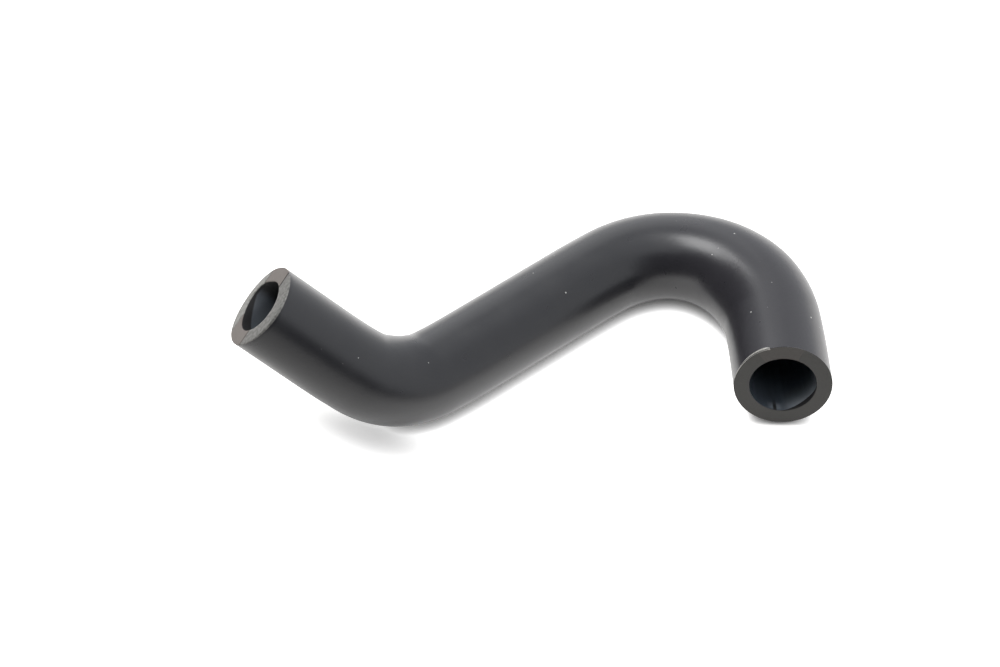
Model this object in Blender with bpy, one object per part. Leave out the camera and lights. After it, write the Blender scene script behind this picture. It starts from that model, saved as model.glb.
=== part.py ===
"""Formed rubber hose with two bends and one widened end, in metres, +Z up.

The hose is one moulding. It lies on a table as it comes to rest: on the underside of
its middle run, on the widened end, and with the short arm standing up from the first bend.
"""
import math

import bmesh
import bpy
from mathutils import Matrix, Vector

MM = 0.001

# Bore and wall, before bending
BORE_A = 16.0 * MM            # inside diameter of the narrow end and of the whole run
WALL_A = 4.7 * MM             # wall there
BORE_B = 19.2 * MM            # inside diameter of the widened end
WALL_B = 4.4 * MM             # the wall stretches a little thinner over the wide mandrel

# Centreline: three straight legs that would meet at two corners, each corner a bend
LEG_A = 49.6 * MM             # narrow end to the first corner
LEG_MIDDLE = 135.0 * MM       # first corner to second corner
LEG_B = 80.5 * MM             # second corner to the widened end
BEND_1_ANGLE = math.radians(60.0)
BEND_1_RADIUS = 24.0 * MM     # at the centreline
BEND_2_ANGLE = math.radians(125.0)
BEND_2_RADIUS = 30.0 * MM
PLANE_TWIST = math.radians(50.5)   # how far the plane of bend 1 is turned up from the table

# Widened end
WIDE_LENGTH = 35.0 * MM       # full width, back from the cut
TAPER_LENGTH = 35.0 * MM      # from full width down to the narrow bore

# The knife cuts: end A is square, end B leans
CUT_B_UP = math.radians(9.0)
CUT_B_SIDE = math.radians(4.5)

# The rubber gathers on the inside of a bend and stretches on the outside of it
GATHER = 0.45                 # how far the wall follows the squeeze: at 1 the rubber keeps its volume
BEND_FADE = 5.5 * MM          # how softly that starts and stops along the hose

# Fineness of the mesh
SIDES = 40
STEP_STRAIGHT = 5.0 * MM
STEP_BEND = math.radians(6.0)
WELD = 0.01 * MM

RADIUS_A = BORE_A / 2 + WALL_A
RADIUS_B = BORE_B / 2 + WALL_B
UP = Vector((0.0, 0.0, 1.0))


def clear_scene():
    for old in list(bpy.data.objects):
        bpy.data.objects.remove(old, do_unlink=True)


def rubber(name, colour, roughness):
    """A plain Principled material in the rubber's colour."""
    material = bpy.data.materials.new(name)
    material.use_nodes = True
    shader = material.node_tree.nodes["Principled BSDF"]
    shader.inputs["Base Color"].default_value = (*colour, 1.0)
    shader.inputs["Roughness"].default_value = roughness
    shader.inputs["Metallic"].default_value = 0.0
    return material


def corners():
    """The four ends and corners of the centreline, from end A to end B."""
    heading = BEND_2_ANGLE - math.pi / 2          # so that end B opens towards -Y
    along = Vector((math.cos(heading), math.sin(heading), 0.0))
    left = UP.cross(along)
    arm = (-math.cos(BEND_1_ANGLE) * along
           + math.sin(BEND_1_ANGLE) * (math.cos(PLANE_TWIST) * left + math.sin(PLANE_TWIST) * UP))
    # The widened end rests on the table too, so its leg climbs by the difference in radius
    rise = math.asin((RADIUS_B - RADIUS_A) / (LEG_B - WIDE_LENGTH))
    last = Vector((0.0, -math.cos(rise), math.sin(rise)))
    corner_1 = Vector((0.0, 0.0, RADIUS_A))
    corner_2 = corner_1 + along * LEG_MIDDLE
    return corner_1 + arm * LEG_A, corner_1, corner_2, corner_2 + last * LEG_B


def centreline():
    """Stations along the hose: place, direction, distance, and the bends as
    (start, end, radius) distances with the way that each bend leans."""
    points = corners()
    stations = []
    bends = []
    here = points[0]
    distance = 0.0

    def straight_to(target):
        nonlocal here, distance
        run = target - here
        count = max(1, round(run.length / STEP_STRAIGHT))
        for i in range(count):
            share = i / count
            stations.append((here + run * share, run.normalized(), distance + run.length * share))
        here = target
        distance += run.length

    for corner, after, radius in zip(points[1:3], points[2:4], (BEND_1_RADIUS, BEND_2_RADIUS)):
        into = (corner - here).normalized()
        out = (after - corner).normalized()
        turn = into.angle(out)
        straight_to(corner - into * radius * math.tan(turn / 2))
        inward = (out - into * into.dot(out)).normalized()
        axis = into.cross(inward)
        centre = here + inward * radius
        count = max(2, round(turn / STEP_BEND))
        for i in range(count):
            spin = Matrix.Rotation(turn * i / count, 3, axis)
            place = centre + spin @ (here - centre)
            stations.append((place, spin @ into, distance + radius * turn * i / count))
        bends.append((distance, distance + radius * turn, radius, axis))
        here = centre + Matrix.Rotation(turn, 3, axis) @ (here - centre)
        distance += radius * turn
    straight_to(points[3])
    stations.append((points[3], (points[3] - points[2]).normalized(), distance))
    return stations, bends


def widening(distance, length):
    """0 in the narrow hose, 1 in the widened end, and a soft step between."""
    start = length - WIDE_LENGTH - TAPER_LENGTH
    share = min(max((distance - start) / TAPER_LENGTH, 0.0), 1.0)
    return share * share * (3.0 - 2.0 * share)


def lean(distance, tangent, bends):
    """The curvature as a vector towards the inside of the bend, faded at the bend's ends."""
    total = Vector()
    soft = BEND_FADE * math.sqrt(2.0)
    for start, end, radius, axis in bends:
        amount = 0.5 * (math.erf((distance - start) / soft) - math.erf((distance - end) / soft))
        total += axis.cross(tangent).normalized() * amount / radius
    return total


def rings(inside):
    """One ring of points for each station, on the bore (inside) or on the outer skin."""
    stations, bends = centreline()
    length = stations[-1][2]
    first = stations[0][1]
    side = first.cross(UP).normalized()
    before = first
    result = []
    for place, tangent, distance in stations:
        side = before.rotation_difference(tangent) @ side
        before = tangent
        other = tangent.cross(side)
        wide = widening(distance, length)
        bore = BORE_A / 2 + wide * (BORE_B - BORE_A) / 2
        wall = WALL_A + wide * (WALL_B - WALL_A)
        bend = lean(distance, tangent, bends)
        ring = []
        for i in range(SIDES):
            angle = 2 * math.pi * i / SIDES
            out = math.cos(angle) * side + math.sin(angle) * other
            squeeze = (bore + wall / 2) * bend.dot(out)
            reach = bore if inside else bore + wall * (1.0 - squeeze) ** -GATHER
            ring.append(place + out * reach)
        result.append(ring)
    result[-1] = slide_to_cut(result[-1], stations[-1][0], stations[-1][1])
    return result


def cut_direction(axis):
    """The way that the cut face of end B looks."""
    sideways = axis.cross(UP).normalized()
    upright = sideways.cross(axis)
    return (axis + math.tan(CUT_B_UP) * upright + math.tan(CUT_B_SIDE) * sideways).normalized()


def slide_to_cut(ring, place, axis):
    """Move a ring's points along the hose until they lie in the leaning cut."""
    normal = cut_direction(axis)
    return [point + axis * ((place - point).dot(normal) / axis.dot(normal)) for point in ring]


def sweep(bm, ring_points):
    """Extrude a circle of edges from ring to ring."""
    ring = bmesh.ops.create_circle(bm, cap_ends=False, radius=RADIUS_A, segments=SIDES)["verts"]
    edges = list(bm.edges)
    for vert, point in zip(ring, ring_points[0]):
        vert.co = point
    for points in ring_points[1:]:
        made = bmesh.ops.extrude_edge_only(bm, edges=edges)["geom"]
        fresh = {item for item in made if isinstance(item, bmesh.types.BMVert)}
        ring = [next(edge.other_vert(vert) for edge in vert.link_edges if edge.other_vert(vert) in fresh)
                for vert in ring]
        for vert, point in zip(ring, points):
            vert.co = point
        edges = [item for item in made if isinstance(item, bmesh.types.BMEdge)
                 and item.verts[0] in fresh and item.verts[1] in fresh]


def make_hose():
    bm = bmesh.new()
    skin = rings(inside=False)
    bore = rings(inside=True)
    # Out along the skin, over the cut of end B, back through the bore and over the cut of end A
    sweep(bm, skin + bore[::-1] + skin[:1])
    bmesh.ops.remove_doubles(bm, verts=bm.verts, dist=WELD)
    bmesh.ops.recalc_face_normals(bm, faces=bm.faces)
    low = Vector([min(vert.co[i] for vert in bm.verts) for i in range(3)])
    high = Vector([max(vert.co[i] for vert in bm.verts) for i in range(3)])
    middle = (low + high) / 2
    bmesh.ops.translate(bm, verts=bm.verts, vec=(-middle.x, -middle.y, -low.z))
    mesh = bpy.data.meshes.new("hose")
    bm.to_mesh(mesh)
    bm.free()
    mesh.shade_smooth()
    mesh.set_sharp_from_angle(angle=math.radians(40.0))
    hose = bpy.data.objects.new("hose", mesh)
    bpy.context.scene.collection.objects.link(hose)
    hose.data.materials.append(rubber("black_rubber", (0.035, 0.035, 0.039), 0.42))
    return hose


clear_scene()
make_hose()
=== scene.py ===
# %% [markdown]
# # A formed coolant hose
# The object is one piece of black rubber: a thick hose with two set bends, cut square at its
# narrow end and slightly askew at its widened end. Everything that makes it look real is in
# its outline, in the way the wall thickens round the inside of each bend, in its two cut
# ends, and in how half matt rubber takes the light. The imported model gives the frame that
# all of it has to fit, so it is loaded first.

# %% Load the imported model
import math

import bmesh
import bpy
from mathutils import Matrix, Vector


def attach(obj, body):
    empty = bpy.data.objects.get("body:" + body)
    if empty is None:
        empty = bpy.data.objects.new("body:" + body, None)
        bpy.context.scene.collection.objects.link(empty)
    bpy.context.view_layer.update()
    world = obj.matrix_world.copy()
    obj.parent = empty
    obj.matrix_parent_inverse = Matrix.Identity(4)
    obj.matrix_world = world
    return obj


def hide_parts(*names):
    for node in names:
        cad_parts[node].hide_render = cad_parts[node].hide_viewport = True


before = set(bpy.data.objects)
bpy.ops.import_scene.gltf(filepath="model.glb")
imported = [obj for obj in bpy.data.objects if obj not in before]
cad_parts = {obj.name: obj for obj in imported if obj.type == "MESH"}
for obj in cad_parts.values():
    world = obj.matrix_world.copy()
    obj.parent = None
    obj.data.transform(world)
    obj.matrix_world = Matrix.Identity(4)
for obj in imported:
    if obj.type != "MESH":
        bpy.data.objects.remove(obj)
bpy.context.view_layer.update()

# %% [markdown]
# ## Sizes
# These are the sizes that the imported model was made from, repeated here because this script
# reads nothing but the frame. The hose starts as a straight tube. The bends are given as
# angles and radii of its centreline, as on a maker's drawing.

# %% Sizes of the hose
MM = 0.001
BORE_A, WALL_A = 16.0 * MM, 4.7 * MM           # narrow end and main run
BORE_B, WALL_B = 19.2 * MM, 4.4 * MM           # widened end
RADIUS_A, RADIUS_B = BORE_A / 2 + WALL_A, BORE_B / 2 + WALL_B
LEG_A, LEG_MIDDLE, LEG_B = 49.6 * MM, 135.0 * MM, 80.5 * MM
BEND_1_ANGLE, BEND_1_RADIUS = math.radians(60.0), 24.0 * MM
BEND_2_ANGLE, BEND_2_RADIUS = math.radians(125.0), 30.0 * MM
PLANE_TWIST = math.radians(50.5)               # how far bend 1 is turned up from the table
WIDE_LENGTH, TAPER_LENGTH = 35.0 * MM, 35.0 * MM
CORNER_1 = Vector((-39.909, -25.780, 12.847)) * MM
UP = Vector((0.0, 0.0, 1.0))
print("outside diameters in mm:", round(2 * RADIUS_A / MM, 1), round(2 * RADIUS_B / MM, 1))

# %% [markdown]
# ## The route
# Three straight legs meet at two corners, and an arc rounds off each corner. The middle leg
# lies on the table, so it makes a good starting place: both arms are bent out of its line.
# Each bend is kept as the point where it leaves the middle leg, the side it turns to, its
# radius and its angle. A curve object could hold the same route, but plain lines and arcs
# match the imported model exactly.

# %% Directions and bends
heading = BEND_2_ANGLE - math.pi / 2
along = Vector((math.cos(heading), math.sin(heading), 0.0))
left = UP.cross(along)
arm_side = math.cos(PLANE_TWIST) * left + math.sin(PLANE_TWIST) * UP
arm = -math.cos(BEND_1_ANGLE) * along + math.sin(BEND_1_ANGLE) * arm_side
climb = math.asin((RADIUS_B - RADIUS_A) / (LEG_B - WIDE_LENGTH))
last = Vector((0.0, -math.cos(climb), math.sin(climb)))
last_side = (last - along * last.dot(along)).normalized()
turn_1 = (-along).angle(arm)
turn_2 = along.angle(last)
cut_back_1 = BEND_1_RADIUS * math.tan(turn_1 / 2)
cut_back_2 = BEND_2_RADIUS * math.tan(turn_2 / 2)

BEND_1_START = LEG_A - cut_back_1
BEND_1_END = BEND_1_START + BEND_1_RADIUS * turn_1
BEND_2_START = BEND_1_END + LEG_MIDDLE - cut_back_1 - cut_back_2
BEND_2_END = BEND_2_START + BEND_2_RADIUS * turn_2
LENGTH = BEND_2_END + LEG_B - cut_back_2
run_start = CORNER_1 + along * cut_back_1
print("bends at mm along the hose:", [round(value / MM, 1) for value in
      (BEND_1_START, BEND_1_END, BEND_2_START, BEND_2_END, LENGTH)])

# %% [markdown]
# ## The wall, spun into a tube
# A hose is extruded as a straight tube before it is pushed onto a bent mandrel. The same
# order works here. Two curves with a round bevel, one inside the other, would be quicker, but
# their ends would stay open, so the whole wall is made as one closed shape instead. Its
# section is a long thin plate: a grid of one face, stretched to the wall and the length, with
# its four corners slightly rounded, because a knife never leaves a razor edge on rubber. Its
# long sides are divided finely, so that the tube can bend, and its short sides into a few
# parts, so that the cut faces can carry marks. Spinning the plate's edges once round the axis
# gives the tube.

# %% Spin the tube
ROUND = 120                  # faces round the hose
ALONG_STEP = 1.25 * MM       # spacing of the rings along it
FACE_PARTS = 8               # divisions across a cut face
RIM = 0.22 * MM              # rounding left by the knife
DOUBLES = 0.001 * MM         # points closer than this are one

tube = bmesh.new()
bmesh.ops.create_grid(tube, x_segments=1, y_segments=1, size=0.5)
bmesh.ops.scale(tube, vec=(WALL_A, LENGTH, 1.0), verts=tube.verts)
bmesh.ops.translate(tube, vec=(BORE_A / 2 + WALL_A / 2, LENGTH / 2, 0.0), verts=tube.verts)
bmesh.ops.rotate(tube, cent=(0, 0, 0), matrix=Matrix.Rotation(math.pi / 2, 3, "X"),
                 verts=tube.verts)
bmesh.ops.bevel(tube, geom=tube.verts[:], offset=RIM, offset_type="OFFSET", affect="VERTICES",
                segments=3, profile=0.5, material=-1)
bmesh.ops.delete(tube, geom=tube.faces[:], context="FACES_ONLY")
long_edges = [edge for edge in tube.edges if edge.calc_length() > LENGTH / 2]
short_edges = [edge for edge in tube.edges if WALL_A / 2 < edge.calc_length() < LENGTH / 2]
bmesh.ops.subdivide_edges(tube, edges=long_edges, cuts=round(LENGTH / ALONG_STEP) - 1)
bmesh.ops.subdivide_edges(tube, edges=short_edges, cuts=FACE_PARTS - 1)
bmesh.ops.spin(tube, geom=tube.verts[:] + tube.edges[:], cent=(0, 0, 0), axis=(0, 0, 1),
               dvec=(0, 0, 0), angle=2 * math.pi, steps=ROUND, use_merge=True, use_duplicate=False)
bmesh.ops.remove_doubles(tube, verts=tube.verts, dist=DOUBLES)
bmesh.ops.recalc_face_normals(tube, faces=tube.faces)
print("straight tube:", len(tube.verts), "points,", len(tube.faces), "faces")

# %% [markdown]
# ## Three surfaces
# The skin, the cut faces and the bore are one piece of rubber with three finishes, so each
# face gets its material's number while the tube is still straight and simple to ask about.
# Three objects would need no numbers, but seams would show where they meet.

# %% Mark the surfaces
SKIN, CUT, BORE = 0, 1, 2
for face in tube.faces:
    middle = face.calc_center_median()
    reach = math.hypot(middle.x, middle.y)
    face.material_index = CUT
    if RIM < middle.z < LENGTH - RIM:
        face.material_index = SKIN if reach > RADIUS_A - WALL_A / 2 else BORE
print("faces of skin, cut and bore:",
      [sum(face.material_index == kind for face in tube.faces) for kind in (SKIN, CUT, BORE)])

# %% [markdown]
# ## A shaved mouth
# On the narrow end the knife also took the inner edge off one side of the mouth, so the wall
# looks thinner there. A boolean could cut the wedge away, but it would leave ragged faces.
# Here points of the cut face move outwards, by an amount that is largest at the bore, fades
# to nothing at the skin and rises and falls softly round the ring.

# %% Shave the mouth
SHAVE, SHAVE_DEEP = 1.8 * MM, 3.4 * MM                        # how wide, and how far in
SHAVE_MIDDLE, SHAVE_BEFORE, SHAVE_AFTER = -6.0, 66.0, 50.0    # degrees round the ring


def soft_step(share):
    """From 0 to 1 with a soft start and a soft end."""
    share = min(max(share, 0.0), 1.0)
    return share * share * (3.0 - 2.0 * share)


def hump(turn, middle, before, after):
    """1 at the middle angle and softly down to 0 on both sides, in degrees."""
    turn = (turn - middle + 180.0) % 360.0 - 180.0
    return soft_step(1.0 - abs(turn) / (after if turn > 0 else before))


for vert in tube.verts:
    flat = Vector((vert.co.x, vert.co.y, 0.0))
    inward = max(1.0 - (flat.length - BORE_A / 2) / WALL_A, 0.0)
    shallow = max(1.0 - vert.co.z / SHAVE_DEEP, 0.0)
    turn = math.degrees(math.atan2(flat.y, flat.x))
    amount = inward * shallow * hump(turn, SHAVE_MIDDLE, SHAVE_BEFORE, SHAVE_AFTER)
    vert.co += flat.normalized() * SHAVE * amount
print("shave of the mouth in mm:", SHAVE / MM, "wide and", round(SHAVE_DEEP / MM, 1), "deep")

# %% [markdown]
# ## Knife marks on the narrow end
# The narrow end was cut in three strokes, and each stroke left its own flat, so two lines
# cross the ring where the flats meet. Colour alone could draw them, but flats that are
# really tipped catch the light differently from every side. A plane slices the ring's faces
# three times at each line: the middle slice becomes the bottom of a fine groove, and
# everything beyond it is tipped back. The tipping fades out along the hose.

# %% Cut the folds
FOLD_TURN = 150.8                               # degrees round the ring, across both folds
RIGHT_FOLD, LEFT_FOLD = 3.8 * MM, -6.9 * MM     # where they lie on that direction
RIGHT_SLOPE, LEFT_SLOPE = 0.06, 0.05            # how much each outer flat is tipped back
GROOVE_WIDE, GROOVE_DEEP = 0.22 * MM, 0.10 * MM
across = Vector((math.cos(math.radians(FOLD_TURN)), math.sin(math.radians(FOLD_TURN)), 0.0))
FOLDS = ((across, RIGHT_FOLD, RIGHT_SLOPE), (-across, -LEFT_FOLD, LEFT_SLOPE))

for out, offset, slope in FOLDS:
    for slice_at in (offset - GROOVE_WIDE, offset, offset + GROOVE_WIDE):
        faces = [face for face in tube.faces if face.calc_center_median().z < RIM]
        edges = dict.fromkeys(edge for face in faces for edge in face.edges)
        verts = dict.fromkeys(vert for face in faces for vert in face.verts)
        bmesh.ops.bisect_plane(tube, geom=list(verts) + list(edges) + faces, dist=DOUBLES / 10,
                               plane_co=out * slice_at, plane_no=out)
print("tube with its folds:", len(tube.faces), "faces")

# %% [markdown]
# ## Keep the straight places
# The place of each point on the straight tube is kept as an attribute with the name of
# blank. Marks that run along the hose can then follow it through the bends. A UV map could
# do that too, but it has a seam where the ring closes, and this has none.

# %% Store the straight places, then tip the flats
TIP_FADE = 6.0 * MM
blank = tube.verts.layers.float_vector.new("blank")
for vert in tube.verts:
    vert[blank] = vert.co
for out, offset, slope in FOLDS:
    for vert in tube.verts:
        beyond = out.dot(vert[blank]) - offset
        if vert[blank].z < TIP_FADE and beyond > -GROOVE_WIDE / 2:
            fade = 1.0 - vert[blank].z / TIP_FADE
            groove = GROOVE_DEEP if abs(beyond) < GROOVE_WIDE / 2 and vert[blank].z < RIM else 0.0
            vert.co.z += fade * slope * max(beyond, 0.0) + groove
print("narrow end set back by up to",
      round(max(vert.co.z - vert[blank].z for vert in tube.verts) / MM, 2), "mm")

# %% [markdown]
# ## A flared lip and a rolled edge
# A knife drags rubber along. On the widened end it left a thin lip that stands out from the
# skin at the upper left, and on the narrow end the whole right side rolls over into the skin.
# A strip of its own could stand for the lip, but it would show a seam. Instead, points near
# the edge move outwards for the lip, and away from the edge for the roll.

# %% Move the edges
LIP, LIP_REACH = 0.8 * MM, 1.3 * MM
LIP_MIDDLE, LIP_BEFORE, LIP_AFTER = 110.0, 9.0, 48.0          # degrees round the ring
ROLL, ROLL_REACH = 0.30 * MM, 1.1 * MM
ROLL_MIDDLE, ROLL_SPREAD = 150.0, 55.0


def opened(gap, extra):
    """A point this far from the sharp edge moves to this distance instead."""
    if gap < RIM:
        return gap * (1.0 + extra / RIM)
    return gap + extra * max(1.0 - (gap - RIM) / (ROLL_REACH - RIM), 0.0)


for vert in tube.verts:
    flat = Vector((vert[blank].x, vert[blank].y, 0.0))
    turn = math.degrees(math.atan2(flat.y, flat.x))
    gap_out = RADIUS_A - flat.length
    if max(gap_out, LENGTH - vert[blank].z) < LIP_REACH:
        share = 1.0 - max(gap_out, LENGTH - vert[blank].z - RIM, 0.0) / LIP_REACH
        share *= hump(turn, LIP_MIDDLE, LIP_BEFORE, LIP_AFTER)
        vert.co += flat.normalized() * LIP * share
    if max(gap_out, vert[blank].z) < ROLL_REACH:
        extra = ROLL * hump(turn, ROLL_MIDDLE, ROLL_SPREAD, ROLL_SPREAD)
        vert.co -= flat.normalized() * (opened(gap_out, extra) - gap_out)
        vert.co.z += opened(vert[blank].z, extra) - vert[blank].z
print("lip and roll in mm:", LIP / MM, ROLL / MM)

# %% [markdown]
# ## Width, wall and bends
# A ring of the hose is widened by its distance from the end. Where the hose is bent, rubber
# gathers on the inside and stretches on the outside, so the wall follows the squeeze there.
# Bending alone would keep the wall even, and the inside of the bends would look too thin.

# %% Shape the wall
GATHER = 0.45                # at 1 the rubber would keep its volume
BEND_FADE = 5.5 * MM         # how softly the squeeze starts and stops along the hose


def widening(distance):
    """0 in the narrow hose, 1 in the widened end, and a soft step between."""
    return soft_step((distance - LENGTH + WIDE_LENGTH + TAPER_LENGTH) / TAPER_LENGTH)


def lean(distance):
    """Curvature towards the inside of the bend, on the straight tube's x (left) and y (up)."""
    total = Vector((0.0, 0.0, 0.0))
    soft = BEND_FADE * math.sqrt(2.0)
    for start, end, radius, side in ((BEND_1_START, BEND_1_END, BEND_1_RADIUS, arm_side),
                                     (BEND_2_START, BEND_2_END, BEND_2_RADIUS, last_side)):
        amount = 0.5 * (math.erf((distance - start) / soft) - math.erf((distance - end) / soft))
        total += Vector((side.dot(left), side.dot(UP), 0.0)) * amount / radius
    return total


for vert in tube.verts:
    distance = vert.co.z
    flat = Vector((vert.co.x, vert.co.y, 0.0))
    out = flat.normalized()
    share = (flat.length - BORE_A / 2) / WALL_A
    wide = widening(distance)
    bore = BORE_A / 2 + wide * (BORE_B - BORE_A) / 2
    wall = WALL_A + wide * (WALL_B - WALL_A)
    squeeze = (bore + wall / 2) * lean(distance).dot(out)
    vert.co = out * (bore + share * wall * (1.0 - squeeze) ** -GATHER)
    vert.co.z = distance
print("widest ring in mm:",
      round(2 * max(math.hypot(vert.co.x, vert.co.y) for vert in tube.verts) / MM, 2))

# %% [markdown]
# ## Bend the tube ring by ring
# Every ring is carried by one matrix. In the middle leg it only moves to its place. Beyond
# a bend's edge it is first slid back to the edge and then swung about the bend's centre by
# the arc it has travelled, and past the arc it just keeps the last angle. A Curve modifier
# bends a tube as well, but it drifts on tight bends, and here each ring stays a flat ring.

# %% Carry each ring to its place
lay = Matrix((left, UP, along)).transposed().to_4x4()
lay.translation = run_start - along * BEND_1_END


def swing(matrix, edge, direction, side, radius, travel):
    """Slide back to the bend's edge and swing round its centre."""
    centre = edge + side * radius
    axis = direction.cross(side)
    return (Matrix.Translation(centre) @ Matrix.Rotation(travel / radius, 4, axis)
            @ Matrix.Translation(-centre) @ Matrix.Translation(-direction * travel) @ matrix)


def carry(distance):
    """The matrix that takes the straight tube's ring at this distance to its place."""
    if distance < BEND_1_END:
        travel = min(BEND_1_END - distance, BEND_1_RADIUS * turn_1)
        return swing(lay, run_start, -along, arm_side, BEND_1_RADIUS, travel)
    travel = min(max(distance - BEND_2_START, 0.0), BEND_2_RADIUS * turn_2)
    edge = run_start + along * (BEND_2_START - BEND_1_END)
    return swing(lay, edge, along, last_side, BEND_2_RADIUS, travel)


rings = {}
for vert in tube.verts:
    rings.setdefault(round(vert[blank].z / MM, 2), []).append(vert)
for verts in rings.values():
    bmesh.ops.transform(tube, matrix=carry(verts[0][blank].z), verts=verts)
print(len(rings), "rings bent")

# %% [markdown]
# ## The leaning cut
# The widened end was cut a few degrees askew. Slicing it with a plane would cut through the
# rings and the rounded edges, so a shear slides each point along the hose until the end lies
# in the leaning plane. It fades out over the last twelve millimetres.

# %% Lean the widened end
CUT_B_UP, CUT_B_SIDE = math.radians(9.0), math.radians(4.5)
FADE = 12.0 * MM
sideways = last.cross(UP).normalized()
cut_normal = (last + math.tan(CUT_B_UP) * sideways.cross(last)
              + math.tan(CUT_B_SIDE) * sideways).normalized()
end_b = carry(LENGTH) @ Vector((0.0, 0.0, LENGTH))
for verts in rings.values():
    share = 1.0 - (LENGTH - verts[0][blank].z) / FADE
    if share > 0.0:
        slide = share / last.dot(cut_normal)
        shear = Matrix([[(i == j) - slide * last[i] * cut_normal[j] for j in range(3)]
                        for i in range(3)]).to_4x4()
        shear.translation = last * slide * end_b.dot(cut_normal)
        bmesh.ops.transform(tube, matrix=shear, verts=verts)
print("end B in mm:", [round(value / MM, 2) for value in end_b])

# %% [markdown]
# ## The finished piece
# The mesh is written with its place in it, so the object itself stays at the origin, and it
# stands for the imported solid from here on.

# %% Make the piece
mesh = bpy.data.meshes.new("hose_skin")
tube.to_mesh(mesh)
tube.free()
mesh.shade_smooth()
hose = bpy.data.objects.new("hose_skin", mesh)
bpy.context.scene.collection.objects.link(hose)
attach(hose, "root")
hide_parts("hose")
print("hose_skin:", len(mesh.polygons), "faces, lowest point in mm",
      round(min(vert.co.z for vert in mesh.vertices) / MM, 3))

# %% [markdown]
# ## Colours and nodes
# Colours are written as the hex values that a screen shows, and one function turns them into
# the linear values that the shader wants. One more function adds a node, sets what it is
# given and links what comes from another node. Where it is given a whole node, it takes the
# first output that this node has in use, which keeps the recipes below short.

# %% Small helpers
def linear(code):
    parts = [int(code[i:i + 2], 16) / 255 for i in (1, 3, 5)]
    return tuple(p / 12.92 if p <= 0.04045 else ((p + 0.055) / 1.055) ** 2.4 for p in parts) + (1.0,)


def fill(tree, node, inputs):
    """Set or link a node's inputs."""
    for name, value in inputs.items():
        if isinstance(value, bpy.types.Node):
            value = next(socket for socket in value.outputs if socket.enabled)
        if isinstance(value, bpy.types.NodeSocket):
            tree.links.new(value, node.inputs[name])
        else:
            node.inputs[name].default_value = value


def add(tree, kind, inputs=None, **settings):
    new = tree.nodes.new("ShaderNode" + kind)
    for name, value in settings.items():
        setattr(new, name, value)
    fill(tree, new, inputs or {})
    return new


def new_material(name):
    material = bpy.data.materials.new(name)
    material.use_nodes = True
    return material, material.node_tree, material.node_tree.nodes["Principled BSDF"]


print("black rubber in linear values:", [round(value, 4) for value in linear("#242427")])

# %% [markdown]
# ## Places and masks
# Every finish here follows the hose, so each material starts from the straight places that
# were stored on the mesh, turned into millimetres. The rest are masks, which are 1 where a
# colour or a gloss belongs and 0 elsewhere: one side of a limit, a band round a value, and
# the overlap of several. They draw flats, lines and edges.

# %% Helpers for patterns
RUBBER_IOR = 1.5
HOSE_MM, SKIN_MM = LENGTH / MM, RADIUS_A / MM


def places(tree):
    """Places on the straight tube in mm, and the last of them, the distance from the narrow end."""
    stored = add(tree, "Attribute", attribute_name="blank")
    spot = add(tree, "VectorMath", {0: stored.outputs["Vector"], 1: (1 / MM,) * 3}, operation="MULTIPLY")
    return spot, add(tree, "SeparateXYZ", {0: spot}).outputs["Z"]


def along_ring(tree, spot, turn):
    """Distance from the hose's axis towards a direction on the ring, in mm."""
    turn = math.radians(turn)
    return add(tree, "VectorMath", {0: spot, 1: (math.cos(turn), math.sin(turn), 0.0)},
               operation="DOT_PRODUCT")


def below(tree, value, limit, soft):
    """1 below the limit and 0 above it, with a soft step between."""
    return add(tree, "MapRange", {"Value": value, "From Min": limit - soft, "From Max": limit + soft,
                                  "To Min": 1.0, "To Max": 0.0}, interpolation_type="SMOOTHSTEP")


def band(tree, value, middle, half, soft):
    """1 in a band on both sides of the middle."""
    off = add(tree, "Math", {0: value, 1: middle}, operation="SUBTRACT")
    return below(tree, add(tree, "Math", {0: off}, operation="ABSOLUTE"), half, soft)


def inverse(tree, mask):
    return add(tree, "Math", {0: 1.0, 1: mask}, operation="SUBTRACT")


def overlap(tree, first, *others):
    """1 only where every mask is 1."""
    for other in others:
        first = add(tree, "Math", {0: first, 1: other}, operation="MULTIPLY")
    return first


print("the hose in mm:", round(HOSE_MM, 1), "long,", round(2 * SKIN_MM, 1), "across")

# %% [markdown]
# ## The lip's painted highlight
# The lip on the widened end catches the light at its upper left, and that highlight is painted
# into the colour as a light sickle: a painted highlight. The skin and the cut face meet in it
# and both have to show it, so the mask is a function. It measures the distance to the edge,
# and the sickle's width shrinks along the ring from its blunt end to its point.

# %% Lip mask
LIP_BLUNT, LIP_POINT, LIP_MARGIN = LIP_MIDDLE, 165.0, (5.0, 3.0)    # degrees
LIP_WIDE, LIP_THIN, LIP_SOFT = 1.2, 0.3, 0.15                       # mm
FACE_SHARE = 1.6                   # it is this much narrower on the cut face than on the skin
LIP_HIGHLIGHT = "#c6c4be"


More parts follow.
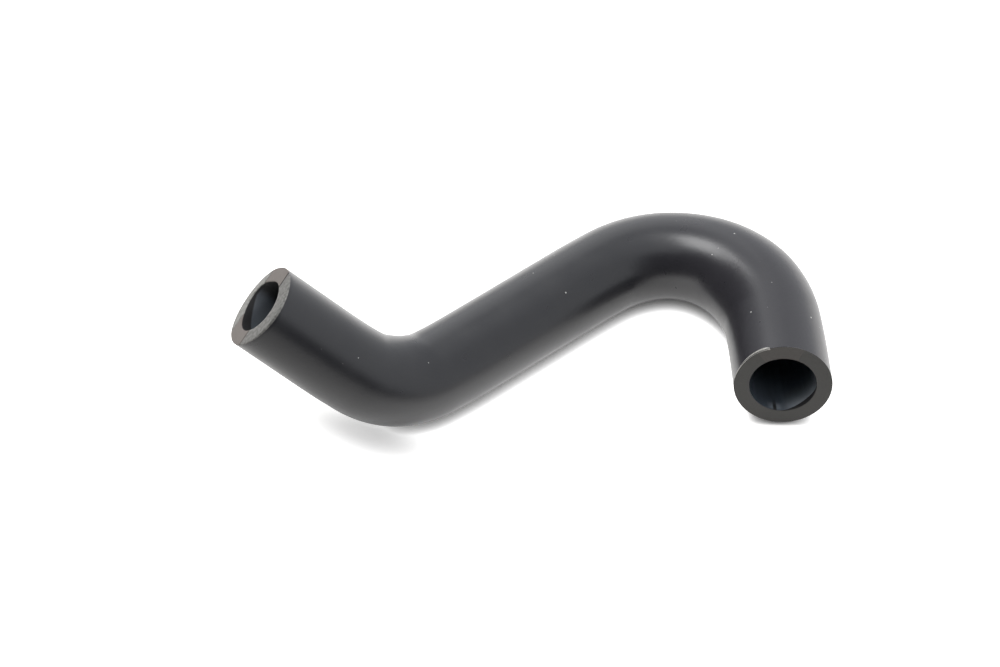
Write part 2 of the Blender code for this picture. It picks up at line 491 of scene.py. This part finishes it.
def lip_highlight_of(tree, spot, distance):
    flat = add(tree, "VectorMath", {0: spot, 1: (1.0, 1.0, 0.0)}, operation="MULTIPLY")
    reach = add(tree, "VectorMath", {0: flat}, operation="LENGTH")
    split = add(tree, "SeparateXYZ", {0: spot})
    turn = add(tree, "Math", {0: split.outputs["Y"], 1: split.outputs["X"]}, operation="ARCTAN2")
    width = add(tree, "MapRange", {"Value": turn, "From Min": math.radians(LIP_BLUNT),
                                   "From Max": math.radians(LIP_POINT),
                                   "To Min": LIP_WIDE, "To Max": LIP_THIN})
    started = add(tree, "Math", {0: turn, 1: math.radians(LIP_BLUNT - LIP_MARGIN[0])},
                  operation="GREATER_THAN")
    going_on = add(tree, "Math", {0: turn, 1: math.radians(LIP_POINT + LIP_MARGIN[1])},
                   operation="LESS_THAN")
    inwards = add(tree, "Math", {0: SKIN_MM, 1: reach}, operation="SUBTRACT")
    from_end = add(tree, "Math", {0: HOSE_MM, 1: distance}, operation="SUBTRACT")
    gap = add(tree, "Math", {0: inwards, 1: FACE_SHARE, 2: from_end}, operation="MULTIPLY_ADD")
    left_over = add(tree, "Math", {0: overlap(tree, width, started, going_on), 1: gap},
                    operation="SUBTRACT")
    return add(tree, "MapRange", {"Value": left_over, "From Min": 0.0, "From Max": LIP_SOFT})


print("lip in mm:", LIP_WIDE, "wide at", LIP_BLUNT, "degrees,", LIP_THIN, "at", LIP_POINT)

# %% [markdown]
# ## Cured skin
# The skin is EPDM rubber filled with carbon black. It was cured in steam on the mandrel, with
# nothing pressed against it, so it is smooth and half matt: dark in itself, with soft
# reflections that brighten strongly at a glancing angle. What breaks it up is faint: clouds
# of a slightly duller bloom some 9 mm across, a shallow orange peel, and fine lines that the
# extruder left along the hose. Towards the widened end the colour is painted a little paler,
# painted light that stands in for the brighter reflections on the last leg. Three noises draw
# this, each scaled from a size in millimetres. The orange peel is coarser than the real one,
# which would be too fine to show.

# %% Skin: clouds, relief and colour
CLOUD, PEEL, LINE_WIDE, LINE_LONG = 9.0, 1.6, 0.7, 60.0         # mm
LIGHTER_BEGINS, LIGHTER_FULL = HOSE_MM - 90.0, HOSE_MM - 45.0   # mm from the narrow end
skin, tree, shader = new_material("steam_cured_epdm_skin")
spot, distance = places(tree)
cloud = add(tree, "TexNoise", {"Vector": spot, "Scale": 1 / CLOUD, "Detail": 3.0})
peel = add(tree, "TexNoise", {"Vector": spot, "Scale": 1 / PEEL, "Detail": 2.0})
drawn = add(tree, "VectorMath", {0: spot, 1: (1 / LINE_WIDE, 1 / LINE_WIDE, 1 / LINE_LONG)},
            operation="MULTIPLY")
lines = add(tree, "TexNoise", {"Vector": drawn, "Scale": 1.0, "Detail": 2.0})
relief = add(tree, "Math", {0: lines, 1: 0.15, 2: peel}, operation="MULTIPLY_ADD")
tone = add(tree, "MapRange", {"Value": cloud, "From Min": 0.3, "From Max": 0.7})
gloss = add(tree, "MapRange", {"Value": cloud, "From Min": 0.3, "From Max": 0.7,
                               "To Min": 0.27, "To Max": 0.33})
# Painted light: the skin is painted paler towards the widened end, for the brighter reflections on the
# last leg.
lit_end_ramp = add(tree, "MapRange", {"Value": distance, "From Min": LIGHTER_BEGINS,
                                   "From Max": LIGHTER_FULL})
print("orange peel in mm:", PEEL, "and clouds:", CLOUD)

# %% [markdown]
# Dust settles on any rubber. One speck lies at some of the points of a Voronoi pattern: the
# random colour of a cell picks the few cells that have one and says how large it is. Real
# little objects would cost thousands of faces for something that is hardly seen.

# %% Skin: dust and the finished material
DUST_SPACING = 2.2                                  # mm between possible specks
DUST_PICK, DUST_SIZE = 0.86, 0.12                   # share of bare cells, and radius in spacings
seeds = add(tree, "TexVoronoi", {"Vector": spot, "Scale": 1 / DUST_SPACING})
pick = add(tree, "SeparateColor", {0: seeds.outputs["Color"]})
grown = add(tree, "MapRange", {"Value": pick, "From Min": DUST_PICK, "From Max": 1.0,
                               "To Min": 0.0, "To Max": DUST_SIZE})
speck = add(tree, "Math", {0: grown, 1: seeds.outputs["Distance"]}, operation="SUBTRACT")
speck = add(tree, "MapRange", {"Value": speck, "From Min": 0.0, "From Max": 0.03})
# Painted light: the lip's pale sickle is a painted highlight laid into the skin colour.
colour = linear("#1f1f23")
for mask, code in ((tone, "#242427"), (lit_end_ramp, "#302f33"), (speck, "#b4b4b0"),
                   (lip_highlight_of(tree, spot, distance), LIP_HIGHLIGHT)):
    colour = add(tree, "Mix", {0: mask, 6: colour, 7: linear(code)}, data_type="RGBA")
bump = add(tree, "Bump", {"Height": relief, "Distance": 0.018 * MM, "Strength": 1.0})
fill(tree, shader, {"Base Color": colour, "Roughness": gloss, "Normal": bump, "IOR": RUBBER_IOR})
hose.data.materials.append(skin)
print("skin nodes:", len(tree.nodes))

# %% [markdown]
# ## Knife-cut faces
# A knife opens fresh rubber, as black as the skin. The narrow end, which is seen at a glancing
# angle and catches the light from behind, is painted light grey, painted light for that glancing
# reflection, and the widened end, which faces the camera, stays dark. On the narrow end the
# three strokes show as flats that differ in warmth and gloss, with dull lines in the grooves
# between them that are also painted darker, as painted shade. On the widened end only one
# sector at the top is warmer. A painted image could show all this, but straight masks on the
# ring divide the faces as the knife did and stay sharp close up.

# %% Cut faces: flats, lines and sector
GROOVE_LINE, FAINT_LINE = (0.26, 0.2), (0.14, 0.1)              # half width and softness in mm
TOP_SECTOR = (-150.0, -26.0)                                    # degrees; it lies opposite to both
cut, tree, shader = new_material("knife_cut_epdm")
spot, distance = places(tree)
narrow = below(tree, distance, HOSE_MM / 2, 1.0)
wide = inverse(tree, narrow)
fold_way = along_ring(tree, spot, FOLD_TURN)
right_flat = overlap(tree, narrow, add(tree, "Math", {0: fold_way, 1: RIGHT_FOLD / MM},
                                       operation="GREATER_THAN"))
left_flat = overlap(tree, narrow, add(tree, "Math", {0: fold_way, 1: LEFT_FOLD / MM},
                                      operation="LESS_THAN"))
# Painted shade: the lines in the grooves between the flats are painted darker, and they are also duller.
shaded_groove = add(tree, "Math", {0: band(tree, fold_way, RIGHT_FOLD / MM, *GROOVE_LINE),
                          1: band(tree, fold_way, LEFT_FOLD / MM, *FAINT_LINE)}, operation="MAXIMUM")
upper = inverse(tree, below(tree, along_ring(tree, spot, FOLD_TURN - 90.0), 0.0, 1.0))
clearer = add(tree, "Math", {0: upper, 1: 0.65, 2: 0.35}, operation="MULTIPLY_ADD")
shaded_groove = overlap(tree, shaded_groove, narrow, clearer)
sector = overlap(tree, *(below(tree, along_ring(tree, spot, turn), 0.0, 0.15) for turn in TOP_SECTOR),
                 wide)
outer_flats = add(tree, "Math", {0: right_flat, 1: left_flat}, operation="ADD")
middle_flat = add(tree, "Math", {0: narrow, 1: outer_flats}, operation="SUBTRACT")
warm = add(tree, "Math", {0: middle_flat, 1: sector}, operation="MAXIMUM")
print("folds in mm from the axis:", RIGHT_FOLD / MM, LEFT_FOLD / MM)

# %% [markdown]
# The blade leaves drag marks across the face, drawn as a noise that is stretched along the
# stroke, over a finer grit. The outer flats of the narrow end were torn rather than sliced:
# they are painted paler still, more painted light, and their tone is mottled.

# %% Cut faces: the finished material
DRAG_WIDE, DRAG_LONG, GRIT, MOTTLE = 1 / 3.0, 1 / 0.45, 0.5, 0.9     # mm
dragged = add(tree, "Mapping", {"Vector": spot, "Rotation": (0.0, 0.0, math.radians(FOLD_TURN - 90.0)),
                                "Scale": (DRAG_WIDE, DRAG_LONG, 0.0)}, vector_type="TEXTURE")
drag = add(tree, "TexNoise", {"Vector": dragged, "Scale": 1.0, "Detail": 3.0})
grit = add(tree, "TexNoise", {"Vector": spot, "Scale": 1 / GRIT, "Detail": 3.0})
mottled = add(tree, "TexNoise", {"Vector": spot, "Scale": 1 / MOTTLE, "Detail": 2.0})
mottled = add(tree, "MapRange", {"Value": mottled, "From Min": 0.35, "From Max": 0.65,
                                 "To Min": 0.45, "To Max": 1.0})
# Painted light: the narrow end's greys stand in for the light it catches at a glancing angle; the groove
# lines are painted shade and the lip's sickle a painted highlight.
colour = linear("#151412")
for mask, code in ((warm, "#292421"), (overlap(tree, narrow, warm), "#5e5651"),
                   (overlap(tree, right_flat, mottled), "#706f6c"),
                   (overlap(tree, left_flat, mottled), "#8b8a86"), (shaded_groove, "#1c1a19"),
                   (lip_highlight_of(tree, spot, distance), LIP_HIGHLIGHT)):
    colour = add(tree, "Mix", {0: mask, 6: colour, 7: linear(code)}, data_type="RGBA")
gloss = add(tree, "MapRange", {"Value": grit, "From Min": 0.3, "From Max": 0.7,
                               "To Min": 0.36, "To Max": 0.44})
gloss = add(tree, "Math", {0: right_flat, 1: -0.06, 2: gloss}, operation="MULTIPLY_ADD")
gloss = add(tree, "Math", {0: shaded_groove, 1: 0.45, 2: gloss}, operation="MULTIPLY_ADD")
relief = add(tree, "Math", {0: grit, 1: 0.5, 2: drag}, operation="MULTIPLY_ADD")
bump = add(tree, "Bump", {"Height": relief, "Distance": 0.02 * MM, "Strength": 1.0})
fill(tree, shader, {"Base Color": colour, "Roughness": gloss, "Normal": bump, "IOR": RUBBER_IOR,
                    "Specular Tint": (1.0, 0.985, 0.96, 1.0)})
hose.data.materials.append(cut)
print("cut nodes:", len(tree.nodes))

# %% [markdown]
# ## Bore
# The bore was shaped by the steel mandrel. It is smooth, and the mandrel's release agent
# leaves a thin cool grey bloom on it, drawn out along the hose when the mandrel was pulled.
# In the narrow end the side that faces the camera is painted a little lighter, painted light
# for the lit wall there. Just inside the widened end a brighter patch at the lower right is
# painted light as well. One even grey would look like plastic, so a noise that is stretched
# along the hose mixes two.

# %% Bore: bloom and lit patch
STREAK_WIDE, STREAK_LONG = 1.2, 25.0                 # mm
LIT_PATCH_TURN, LIT_PATCH_DEEP = -44.0, 6.5                  # degrees, and mm from the widened end
bore_finish, tree, shader = new_material("mandrel_formed_bore")
spot, distance = places(tree)
depth = add(tree, "Math", {0: HOSE_MM, 1: distance}, operation="SUBTRACT")
drawn = add(tree, "VectorMath", {0: spot, 1: (1 / STREAK_WIDE, 1 / STREAK_WIDE, 1 / STREAK_LONG)},
            operation="MULTIPLY")
streak = add(tree, "TexNoise", {"Vector": drawn, "Scale": 1.0, "Detail": 3.0})
bloom = add(tree, "MapRange", {"Value": streak, "From Min": 0.3, "From Max": 0.7})
narrow = below(tree, distance, HOSE_MM / 2, 1.0)
# Painted light: the wall that faces the camera in the narrow end is painted lighter.
lit_side = add(tree, "MapRange", {"Value": along_ring(tree, spot, FOLD_TURN - 180.0),
                                "From Min": -2.0, "From Max": 8.0})
# Painted light: a bright patch on the lower right wall just inside the widened end.
lit_patch = add(tree, "MapRange", {"Value": along_ring(tree, spot, LIT_PATCH_TURN), "From Min": 5.2,
                               "From Max": 7.6})
lit_patch = overlap(tree, lit_patch, below(tree, depth, LIT_PATCH_DEEP, 3.0))
print("bloom streaks in mm:", STREAK_WIDE, "by", STREAK_LONG)

# %% [markdown]
# Just inside the widened end a dark crescent of painted shade lies at the lower right: the
# plane of the mask crosses the round bore at a slant, and that gives the crescent. A short
# dark mark from the mandrel runs in along the bottom, with a paler halo on both sides of it.

# %% Bore: crescent, mark and halo
# Painted shade: a dark crescent on the lower right wall just inside the widened end.
CRESCENT_SHADE_TURN, CRESCENT_SHADE_FROM = -41.0, 4.3                  # degrees and mm
MARK_TURN = 256.0                                    # degrees, at the bottom
crescent_shade = add(tree, "Math", {0: along_ring(tree, spot, CRESCENT_SHADE_TURN), 1: CRESCENT_SHADE_FROM}, operation="SUBTRACT")
crescent_shade = add(tree, "Math", {0: crescent_shade, 1: depth}, operation="SUBTRACT")
crescent_shade = add(tree, "MapRange", {"Value": crescent_shade, "From Min": 0.0, "From Max": 0.25})
beside_mark = along_ring(tree, spot, MARK_TURN + 90.0)
bottom = add(tree, "Math", {0: along_ring(tree, spot, MARK_TURN), 1: 0.0}, operation="GREATER_THAN")
mark = overlap(tree, band(tree, beside_mark, 0.0, 0.40, 0.18), bottom, below(tree, depth, 5.5, 2.0))
halo = overlap(tree, band(tree, beside_mark, 0.0, 1.5, 0.7), bottom,
               band(tree, depth, 3.2, 1.6, 1.0), streak)
print("crescent reaches in by mm:", round(BORE_A / 2 / MM - CRESCENT_SHADE_FROM, 1))

# %% [markdown]
# In the narrow end the wall just behind the shaved rim, and the upper side behind that, are
# painted dark and rough: painted shade, where the rim keeps the light off. Next to the bloom
# this makes the mouth's dark band.

# %% Bore: shaved mouth and the finished material
# Painted shade: the wall behind the narrow end's rim and the upper side behind it are painted dark.
up_way = along_ring(tree, spot, FOLD_TURN - 90.0)
slanting = add(tree, "Math", {0: up_way, 1: 0.30, 2: distance}, operation="MULTIPLY_ADD")
rim_shadow = add(tree, "Math", {0: below(tree, slanting, 1.5, 0.25), 1: below(tree, distance, 0.9, 0.2)},
          operation="MAXIMUM")
mouth_shade = add(tree, "Math", {0: rim_shadow, 1: inverse(tree, below(tree, up_way, 3.4, 1.6))},
             operation="MAXIMUM")
dark_mark_and_shade = add(tree, "Math", {0: mark, 1: crescent_shade}, operation="MAXIMUM")
dark_mark_and_shade = add(tree, "Math", {0: dark_mark_and_shade, 1: overlap(tree, mouth_shade, narrow)}, operation="MAXIMUM")
# The lighter side and the bright patch are painted light; the crescent and the mouth's dark band are
# painted shade.
colour = linear("#383d44")
for mask, code in ((bloom, "#444b54"), (overlap(tree, narrow, lit_side), "#4a4e53"),
                   (lit_patch, "#82888e"), (halo, "#82888e"), (dark_mark_and_shade, "#101012")):
    colour = add(tree, "Mix", {0: mask, 6: colour, 7: linear(code)}, data_type="RGBA")
gloss = add(tree, "Mix", {0: dark_mark_and_shade, 2: 0.33, 3: 0.75})
bump = add(tree, "Bump", {"Height": streak, "Distance": 0.02 * MM, "Strength": 1.0})
fill(tree, shader, {"Base Color": colour, "Roughness": gloss, "Normal": bump, "IOR": RUBBER_IOR})
hose.data.materials.append(bore_finish)
print("bore nodes:", len(tree.nodes))

# %% [markdown]
# ## White paper
# The photograph stands on plain white paper. The floor is a pale matt sheet that takes the
# shadow, and it also glows for camera rays, so the paper reads as white without putting
# more light on the rubber. Mirror rays see the glow too, because half matt rubber shows the
# table that it lies on. That glow fades towards the front and the left, where the
# photograph's reflections go dark, and it is weaker round the second bend. Stronger lamps
# could make the paper white too, but they would wash out the black.

# %% Floor and its glow
bpy.ops.mesh.primitive_plane_add(size=6.0, location=(0.0, 0.0, -0.02 * MM))
floor = bpy.context.object
floor.name = "floor"
paper, tree, shader = new_material("white_paper_sweep")
floor.data.materials.append(paper)
path = add(tree, "LightPath")
place = add(tree, "TexCoord").outputs["Object"]
here = add(tree, "SeparateXYZ", {0: place})
fades = []
for axis, dark, bright, least, most in (("Y", -0.15, -0.05, 0.12, 1.0), ("X", -0.12, -0.01, 0.12, 1.0),
                                        ("X", 0.01, 0.05, 1.2, 0.8)):
    fades.append(add(tree, "MapRange", {"Value": here.outputs[axis], "From Min": dark, "From Max": bright,
                                        "To Min": least, "To Max": most}))
mirrored = overlap(tree, path.outputs["Is Glossy Ray"], *fades)
seen = add(tree, "Math", {0: path.outputs["Is Camera Ray"], 1: mirrored}, operation="MAXIMUM")
print("floor glow fades by", len(fades), "ranges")

# %% [markdown]
# Close to the hose no light reaches the paper, and a glow isn't dimmed by any shadow, so it
# has to give way there by itself. Ambient occlusion over 4 mm, squared, leaves the thin dark
# line of contact, and a soft patch keeps the wide, faint shade under the raised arm.

# %% Floor: contact line and shade
CONTACT = 4.0 * MM
SHADE_AT, SHADE_TURN, SHADE_SIZE = (-0.049, -0.0278, 0.0), math.radians(-30.0), (0.033, 0.0105, 1.0)
open_sky = add(tree, "AmbientOcclusion", {"Distance": CONTACT}, samples=12)
open_sky = add(tree, "Math", {0: open_sky.outputs["AO"], 1: 2.0}, operation="POWER")
under_arm = add(tree, "Mapping", {"Vector": place, "Location": SHADE_AT,
                                  "Rotation": (0.0, 0.0, SHADE_TURN), "Scale": SHADE_SIZE},
                vector_type="TEXTURE")
shade = add(tree, "TexGradient", {"Vector": under_arm}, gradient_type="SPHERICAL")
shade = add(tree, "MapRange", {"Value": shade.outputs["Fac"], "From Max": 0.9, "To Min": 1.0,
                               "To Max": 0.45}, interpolation_type="SMOOTHSTEP")
fill(tree, shader, {"Base Color": (0.82, 0.80, 0.77, 1.0), "Roughness": 1.0, "Specular IOR Level": 0.0,
                    "Emission Color": (1.0, 1.0, 1.0, 1.0),
                    "Emission Strength": overlap(tree, open_sky, seen, shade)})
print("floor nodes:", len(tree.nodes))

# %% [markdown]
# ## Room
# What the rubber reflects is most of what one sees, so the world is a simple room: a white
# sweep stands on one side, a little darker towards its top, the other side is dark, and the
# ceiling is white right above. The soft edges between them give the broad bands along the
# hose. Camera rays see plain white instead. A photographed room could do this from an image,
# but a few ranges on the direction are easier to steer and need no file.

# %% World
WHITE_SIDE = math.radians(47.0)       # where the white sweep stands, from +Y towards +X
DARK, WHITE = 0.045, 1.25
world = bpy.data.worlds.new("studio")
bpy.context.scene.world = world
world.use_nodes = True
tree = world.node_tree
split = add(tree, "SeparateXYZ", {0: add(tree, "TexCoord").outputs["Generated"]})
level = add(tree, "CombineXYZ", {"X": split.outputs["X"], "Y": split.outputs["Y"], "Z": 0.0})
level = add(tree, "VectorMath", {0: level}, operation="NORMALIZE")
side = add(tree, "VectorMath", {0: level, 1: (math.sin(WHITE_SIDE), math.cos(WHITE_SIDE), 0.0)},
           operation="DOT_PRODUCT")
sweep = add(tree, "MapRange", {"Value": side, "From Min": -0.21, "From Max": 0.14},
            interpolation_type="SMOOTHSTEP")
fall = add(tree, "MapRange", {"Value": split.outputs["Z"], "To Min": 1.06, "To Max": 0.80})
ceiling = add(tree, "MapRange", {"Value": split.outputs["Z"], "From Min": 0.82, "From Max": 0.90},
              interpolation_type="SMOOTHSTEP")
white = add(tree, "Math", {0: overlap(tree, sweep, fall), 1: ceiling}, operation="MAXIMUM")
glow = add(tree, "MapRange", {"Value": white, "To Min": DARK, "To Max": WHITE}, clamp=False)
shown = add(tree, "Mix", {0: add(tree, "LightPath").outputs["Is Camera Ray"], 2: glow, 3: 1.0})
fill(tree, tree.nodes["Background"], {"Strength": shown, "Color": (0.945, 0.968, 1.0, 1.0)})
print("room light:", DARK, "to", WHITE)

# %% [markdown]
# ## Lamps
# A small window high on the left draws the highlight on the second bend, and a large, weak
# lamp low behind the hose lights its far edge. A lamp is placed by its direction, as a
# photographer would: azimuth from +Y towards +X, elevation above the table, and distance.

# %% Window and wall
def softbox(name, azimuth, elevation, distance, size, strength):
    lamp = bpy.data.lights.new(name, "AREA")
    lamp.size = size
    lamp.energy = strength
    stand = bpy.data.objects.new(name, lamp)
    bpy.context.scene.collection.objects.link(stand)
    azimuth, elevation = math.radians(azimuth), math.radians(elevation)
    toward = Vector((math.cos(elevation) * math.sin(azimuth), math.cos(elevation) * math.cos(azimuth),
                     math.sin(elevation)))
    stand.location = toward * distance
    stand.rotation_euler = toward.to_track_quat("Z", "Y").to_euler()
    return stand


lamps = [softbox("window", -58.0, 70.0, 0.9, 0.42, 5.2),
         softbox("white_wall", -8.0, 28.0, 1.2, 0.8, 1.35)]
print("lamps in watts:", [round(stand.data.energy, 2) for stand in lamps])

# %% [markdown]
# ## Camera
# The camera's height, turn and distance were fitted to the photograph: to the outline of the
# hose and to the two rings at its ends. A long lens keeps the perspective flat, as there.

# %% Camera
ELEVATION, AZIMUTH, TILT = math.radians(50.503), math.radians(2.548), math.radians(-0.361)
DISTANCE = 875.182 * MM
TARGET = Vector((-8.207, 6.810, 0.0)) * MM
SENSOR = 36.0                # mm
FOCAL = 2.96498              # focal length in sensor widths
look = Vector((math.cos(ELEVATION) * math.sin(AZIMUTH), math.cos(ELEVATION) * math.cos(AZIMUTH),
               -math.sin(ELEVATION)))
right = Vector((math.cos(AZIMUTH), -math.sin(AZIMUTH), 0.0))
upward = right.cross(look)
right, upward = (math.cos(TILT) * right + math.sin(TILT) * upward,
                 math.cos(TILT) * upward - math.sin(TILT) * right)
lens = bpy.data.cameras.new("camera")
lens.sensor_width = SENSOR
lens.lens = SENSOR * FOCAL
lens.clip_start = 0.01
camera = bpy.data.objects.new("camera", lens)
bpy.context.scene.collection.objects.link(camera)
stand = Matrix((right, upward, -look)).transposed().to_4x4()
stand.translation = TARGET - look * DISTANCE
camera.matrix_world = stand
bpy.context.scene.camera = camera
print("camera at mm:", [round(value / MM, 1) for value in stand.translation])

# %% [markdown]
# ## Finish
# The colour transform is the plain one, so that a colour comes out as it is written.

# %% Finish
bpy.context.scene.view_settings.view_transform = "Standard"
